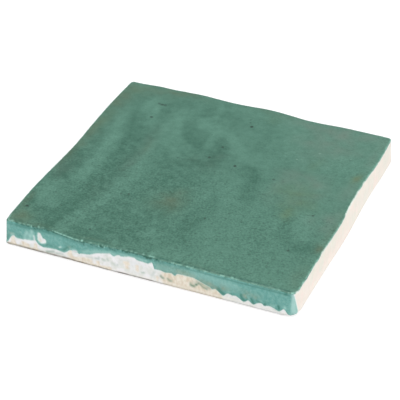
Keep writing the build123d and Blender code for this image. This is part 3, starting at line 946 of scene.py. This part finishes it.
def grain(size, detail=2.0, stretch=(1.0, 1.0, 1.0), seed=0.0):
    """Noise from 0 to 1 with lumps about size millimetres wide."""
    mapping = nodes.new("ShaderNodeMapping")
    links.new(place, mapping.inputs["Vector"])
    mapping.inputs["Scale"].default_value = [s / (size * mm) for s in stretch]
    mapping.inputs["Location"].default_value = (seed, seed * 1.7, seed * 2.3)
    node = nodes.new("ShaderNodeTexNoise")
    links.new(mapping.outputs["Vector"], node.inputs["Vector"])
    node.inputs["Scale"].default_value = 1.0
    node.inputs["Detail"].default_value = detail
    node.inputs["Roughness"].default_value = 0.6
    return node.outputs["Fac"]


def shaken(value, noise, amount):
    """The value raised and lowered by the noise."""
    return sums("MULTIPLY_ADD", sums("SUBTRACT", noise, 0.5), amount, value)


# Pinholes in the face: middle (x, y), radius and depth of colour
pinholes = (
    (6.2, 10.2, 0.8, 1), (2.3, 36.2, 0.9, 0.9), (-2.2, 20, 0.7, 0.7), (-4, 12.2, 0.8, 0.7),
    (-34.2, 38.2, 0.9, 0.5), (-33, 38, 1, 0.65), (-31.8, 38.1, 0.9, 0.5), (0.9, 38.6, 0.6, 0.45),
    (-33, 28.5, 0.9, 0.7), (-47.2, -39.3, 0.8, 0.9), (21.2, 7.7, 0.7, 0.55), (40.4, -7, 0.7, 0.6),
    (8.9, -22.8, 0.7, 0.7), (-19.6, -19.9, 0.7, 0.6), (-22.1, -20.6, 0.6, 0.5),
    (-22.8, -42.6, 0.6, 0.6), (-22.1, -40.1, 0.5, 0.5), (0.2, 40.5, 0.6, 0.4),
    (39.6, -28.6, 0.8, 0.6), (-13.8, 7.5, 0.5, 0.4),
)
pale_specks = ((24.0, 23.0, 0.5, 0.4), (30.0, 29.6, 0.7, 0.3), (41.0, 30.2, 0.6, 0.2))


def spots(marks, softness):
    """A mask of small round marks on the face."""
    total = None
    fuzz = sums("MULTIPLY", sums("SUBTRACT", grain(0.45, 1.0), 0.5), 0.5 * mm)
    for mark_x, mark_y, radius, depth in marks:
        apart = nodes.new("ShaderNodeVectorMath")
        apart.operation = "DISTANCE"
        links.new(place, apart.inputs[0])
        level = float(face_height(np.array([mark_x]), np.array([mark_y]))[0])
        apart.inputs[1].default_value = (mark_x * mm, mark_y * mm, level * mm)
        reach = sums("ADD", apart.outputs["Value"], fuzz)
        mark = ramp(reach, radius * softness * mm, radius * mm, depth, 0.0)
        total = mark if total is None else sums("MAXIMUM", total, mark)
    return total


# The glaze on the face, from deep to pale with its painted sheen and painted light, with its
# stains, grain and pinholes
tone_share = sums("MULTIPLY_ADD", kept("tone"), 0.27, 0.5)
tone_share = shaken(tone_share, grain(0.7, seed=3), kept("grit"))
tone_share = shaken(tone_share, grain(2.6, seed=5), sums("MULTIPLY", kept("clouds"), 0.7))
face_colour = blended(tone_share, paint(53, 98, 82), paint(95, 141, 124))
face_colour = stained(face_colour, "rose", 0.42, (110, 128, 117))
face_colour = stained(face_colour, "olive", 0.36, (98, 122, 84))
face_colour = stained(face_colour, "rust", 0.4, (94, 98, 72))
grain_specks = ramp(grain(0.8, 1.5, seed=8), 0.56, 0.72, 0.0, 0.32)
face_colour = blended(sums("MULTIPLY", grain_specks, kept("grit")), face_colour, paint(46, 80, 66))
face_colour = blended(spots(pinholes, 0.3), face_colour, paint(32, 54, 45))
face_colour = blended(spots(pale_specks, 0.2), face_colour, paint(150, 186, 170))

# The thinner, bluer glaze on the walls, palest where the slip veils it, and a painted reflection
# down the front right corner
flattened = (1.0, 1.0, 0.6)
wall_colour = mottled(paint(92, 156, 148), grain(1.1, 3, seed=11), 0.3, 0.7, 1.0, (116, 173, 165))
wall_colour = mottled(wall_colour, grain(0.5, stretch=flattened, seed=12), 0.48, 0.68, 0.3,
                      (84, 140, 126))
wall_colour = stained(wall_colour, "pools", 0.7, (62, 128, 116))
wall_colour = stained(wall_colour, "iron", 0.6, (152, 152, 126))
# Paler where the slip veils the glaze, and the painted reflection on the front right corner
wall_colour = stained(wall_colour, "veils_and_corner_highlight", 0.6, (176, 216, 209))
wall_colour = blended(ramp(kept("veils_and_corner_highlight"), 1.15, 1.9), wall_colour, paint(222, 214, 220))
over_arris = shaken(kept("fall"), grain(0.7, seed=13), 0.7)
glaze_colour = blended(ramp(over_arris, 0.35, 0.8), face_colour, wall_colour)
# The ribs that the glaze made as it ran over the arris, with painted shade in their hollows
# and painted highlights on their crests
ribs = grain(0.75, 1, stretch=(1.0, 1.0, 0.4), seed=14)
# Painted shade in the hollows between the ribs, where the glaze also lies darker
shade_share = sums("MULTIPLY", kept("shade_and_dark_glaze"), ramp(ribs, 0.36, 0.56, 0.55, 1.1), clamp=True)
glaze_colour = blended(shade_share, glaze_colour, paint(40, 95, 80))
# Painted highlights on the crests of the ribs
highlight_share = sums("MULTIPLY", kept("painted_highlights"), ramp(ribs, 0.46, 0.64, 0.9, 0.5), clamp=True)
glaze_colour = blended(highlight_share, glaze_colour, paint(152, 208, 191))

# White slip, whitest next to the glaze, and bare clay with sand in it
slip_colour = mottled(paint(241, 240, 242), grain(2.2, 3, seed=17), 0.36, 0.66, 1.0,
                      (224, 226, 221))
slip_colour = stained(slip_colour, "tints", 0.6, (170, 188, 178))
slip_white = blended(kept("wiped"), paint(242, 239, 242), paint(240, 244, 236))
slip_colour = blended(ramp(kept("glaze"), -1.6, -0.2, 0.0, 0.45), slip_colour, slip_white)
clay_colour = mottled(paint(239, 231, 218), grain(1.2, 3, stretch=flattened, seed=19), 0.34,
                      0.66, 1.0, (221, 208, 187))
clay_colour = mottled(clay_colour, grain(1.6, seed=20), 0.5, 0.68, 0.5, (222, 220, 198))
clay_colour = mottled(clay_colour, grain(0.5, seed=23), 0.62, 0.8, 0.4, (202, 184, 156))
wiped_colour = mottled(paint(245, 235, 227), grain(9, 3, seed=21), 0.3, 0.7, 1.0, (237, 234, 225))
wiped_colour = mottled(wiped_colour, grain(6, seed=22), 0.48, 0.66, 0.7, (250, 232, 225))
wiped_colour = stained(wiped_colour, "film", 0.45, (224, 229, 215))
clay_colour = blended(kept("wiped"), clay_colour, wiped_colour)
bare_share = shaken(kept("bare"), grain(0.9, seed=29), 0.7)
ground = blended(ramp(bare_share, -0.4, 0.6), slip_colour, clay_colour)
ground = stained(ground, "powder", 0.45, (246, 240, 230))
ground = stained(ground, "flecks", 0.7, (108, 142, 118))
# Bench dirt and painted contact shadow along the foot
ground = stained(ground, "foot_dirt_and_shadow", 0.6, (102, 92, 80))
glaze_share = shaken(kept("glaze"), grain(0.7, 2.5, seed=31), 0.45)
glazed = ramp(glaze_share, -0.2, 0.32)
ground = mottled(ground, glaze_share, -0.5, -0.05, 0.4, (188, 226, 214))
whole_colour = blended(glazed, ground, glaze_colour)

# The sheen: satin on the glaze, a little glossier on the walls, and nearly matt on the clay
face_sheen = ramp(grain(3, seed=37), 0.3, 0.7, 0.36, 0.46)
glaze_sheen = sums("MULTIPLY_ADD", ramp(kept("fall"), 0.1, 0.6), -0.18, face_sheen)
ground_sheen = ramp(bare_share, -0.12, 0.2, 0.55, 0.92)
roughness = nodes.new("ShaderNodeMix")
put(roughness.inputs["Factor"], glazed)
put(roughness.inputs["A"], ground_sheen)
put(roughness.inputs["B"], glaze_sheen)

# The bump: a tooth on the clay, fine orange peel all over, sunk pinholes and the glaze's step
tooth = sums("MULTIPLY", sums("SUBTRACT", 1.0, glazed), grain(0.35, 3, seed=41))
skin_texture = sums("MULTIPLY_ADD", grain(0.6, seed=43), 0.35, tooth)
skin_texture = sums("MULTIPLY_ADD", spots(pinholes, 0.2), -1.5, skin_texture)
skin_texture = sums("MULTIPLY_ADD", glazed, 1.2, skin_texture)
bump = nodes.new("ShaderNodeBump")
bump.inputs["Strength"].default_value = 0.5
bump.inputs["Distance"].default_value = 0.06 * mm
put(bump.inputs["Height"], skin_texture)

shader = nodes.new("ShaderNodeBsdfPrincipled")
put(shader.inputs["Base Color"], whole_colour)
put(shader.inputs["Roughness"], roughness.outputs["Result"])
put(shader.inputs["Normal"], bump.outputs["Normal"])
shader.inputs["Specular IOR Level"].default_value = 0.4
surface = nodes.new("ShaderNodeOutputMaterial")
links.new(shader.outputs["BSDF"], surface.inputs["Surface"])
skin.materials.append(finish)

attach(tile, "root")
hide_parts("wall_tile")

# The floor
# A plain white table, lit like the tile. The camera sees it lifted to paper white, and the
# tile's own soft shadow stays on it.
floor_size = 6.0
floor_data = bpy.data.meshes.new("floor")
half = floor_size / 2
floor_data.from_pydata([(-half, -half, 0), (half, -half, 0), (half, half, 0), (-half, half, 0)],
                       [], [(0, 1, 2, 3)])
floor = bpy.data.objects.new("floor", floor_data)
bpy.context.scene.collection.objects.link(floor)
table = bpy.data.materials.new("white_table")
table.use_nodes = True
nodes, links = table.node_tree.nodes, table.node_tree.links
nodes.clear()
seen_white, felt_white, lift = 0.42, 0.8, 0.66
path_node = nodes.new("ShaderNodeLightPath")
seen = sums("MAXIMUM", path_node.outputs["Is Camera Ray"], path_node.outputs["Is Glossy Ray"])
seen = sums("MAXIMUM", seen, path_node.outputs["Is Transmission Ray"])
matt = nodes.new("ShaderNodeBsdfDiffuse")
put(matt.inputs["Color"], blended(seen, (felt_white,) * 3 + (1.0,), (seen_white,) * 3 + (1.0,)))
glow = nodes.new("ShaderNodeEmission")
glow.inputs["Color"].default_value = (1.0, 1.0, 1.0, 1.0)
put(glow.inputs["Strength"], sums("MULTIPLY", seen, lift))
both = nodes.new("ShaderNodeAddShader")
links.new(matt.outputs["BSDF"], both.inputs[0])
links.new(glow.outputs["Emission"], both.inputs[1])
surface = nodes.new("ShaderNodeOutputMaterial")
links.new(both.outputs["Shader"], surface.inputs["Surface"])
floor_data.materials.append(table)

# The studio light
# Pale walls all round give half of the light, brightest in front and to the right. Three wide
# soft lamps on the right, in front and overhead add the rest, and the tile's right wall is the
# brightest.
world = bpy.data.worlds.new("studio")
bpy.context.scene.world = world
world.use_nodes = True
nodes, links = world.node_tree.nodes, world.node_tree.links
nodes.clear()
dim_side, bright_side, room_seen = 0.25, 0.75, 1.0
bright_way = Vector((0.45, -0.5, 0.75)).normalized()
toward = nodes.new("ShaderNodeVectorMath")
toward.operation = "DOT_PRODUCT"
links.new(nodes.new("ShaderNodeTexCoord").outputs["Generated"], toward.inputs[0])
toward.inputs[1].default_value = bright_way
room_light = ramp(toward.outputs["Value"], -0.8, 0.8, dim_side, bright_side)
path_node = nodes.new("ShaderNodeLightPath")
level = nodes.new("ShaderNodeMix")
put(level.inputs["Factor"], path_node.outputs["Is Camera Ray"])
put(level.inputs["A"], room_light)
put(level.inputs["B"], room_seen)
room = nodes.new("ShaderNodeBackground")
room.inputs["Color"].default_value = (1.0, 1.0, 1.0, 1.0)
put(room.inputs["Strength"], level.outputs["Result"])
surface = nodes.new("ShaderNodeOutputWorld")
links.new(room.outputs["Background"], surface.inputs["Surface"])


def soft_lamp(name, turn, rise, distance, size, level):
    """A square lamp that faces the tile and would light a white card to that level."""
    turn, rise = math.radians(turn), math.radians(rise)
    way = Vector((math.sin(turn) * math.cos(rise), -math.cos(turn) * math.cos(rise),
                  math.sin(rise)))
    lamp_data = bpy.data.lights.new(name, "AREA")
    lamp_data.shape = "SQUARE"
    lamp_data.size = size
    lamp_data.energy = level * math.pi ** 2 * distance ** 2
    lamp = bpy.data.objects.new(name, lamp_data)
    lamp.location = way * distance
    lamp.rotation_euler = way.to_track_quat("Z", "Y").to_euler()
    bpy.context.scene.collection.objects.link(lamp)


soft_lamp("right_lamp", turn=80, rise=30, distance=1.2, size=0.9, level=0.24)
soft_lamp("front_lamp", turn=-20, rise=48, distance=1.3, size=0.8, level=0.14)
soft_lamp("top_lamp", turn=0, rise=88, distance=1.3, size=0.9, level=0.36)

bpy.context.scene.view_settings.view_transform = "Standard"
